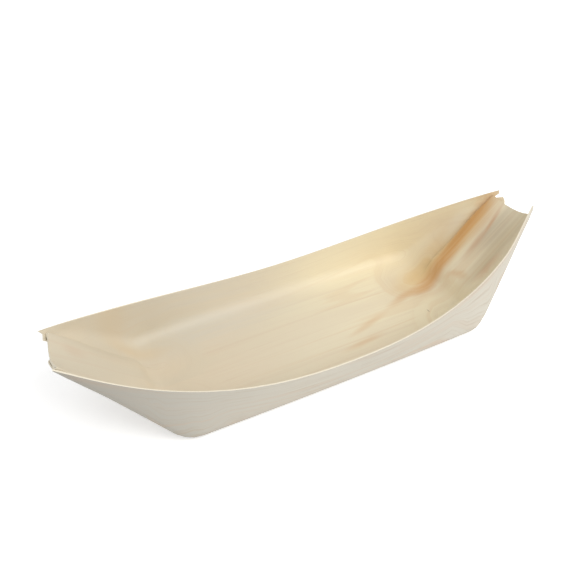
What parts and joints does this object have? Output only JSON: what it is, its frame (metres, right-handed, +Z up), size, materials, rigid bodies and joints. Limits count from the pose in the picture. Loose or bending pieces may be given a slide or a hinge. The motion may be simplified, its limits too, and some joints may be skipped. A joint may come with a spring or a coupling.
{
  "type": "folded wood veneer food boat",
  "caption": "Boat-shaped serving tray folded from one sheet of thin wood veneer, with a flat floor, flared walls and raised pleated ends.",
  "frame": {"origin": "middle of the floor's underside, in the plane that the boat stands on", "axes": "+X along the boat, +Y across it, +Z up out of the open top"},
  "size_m": [0.25, 0.0818, 0.0486],
  "materials": {
    "wood_veneer": "bare sliced veneer, warm cream inside and paler grey-cream outside, with fine grain along the boat and soft orange-tan streaks"
  },
  "bodies": {
    "root": {"folded_veneer_sheet": "wood_veneer"}
  },
  "joints": []
}
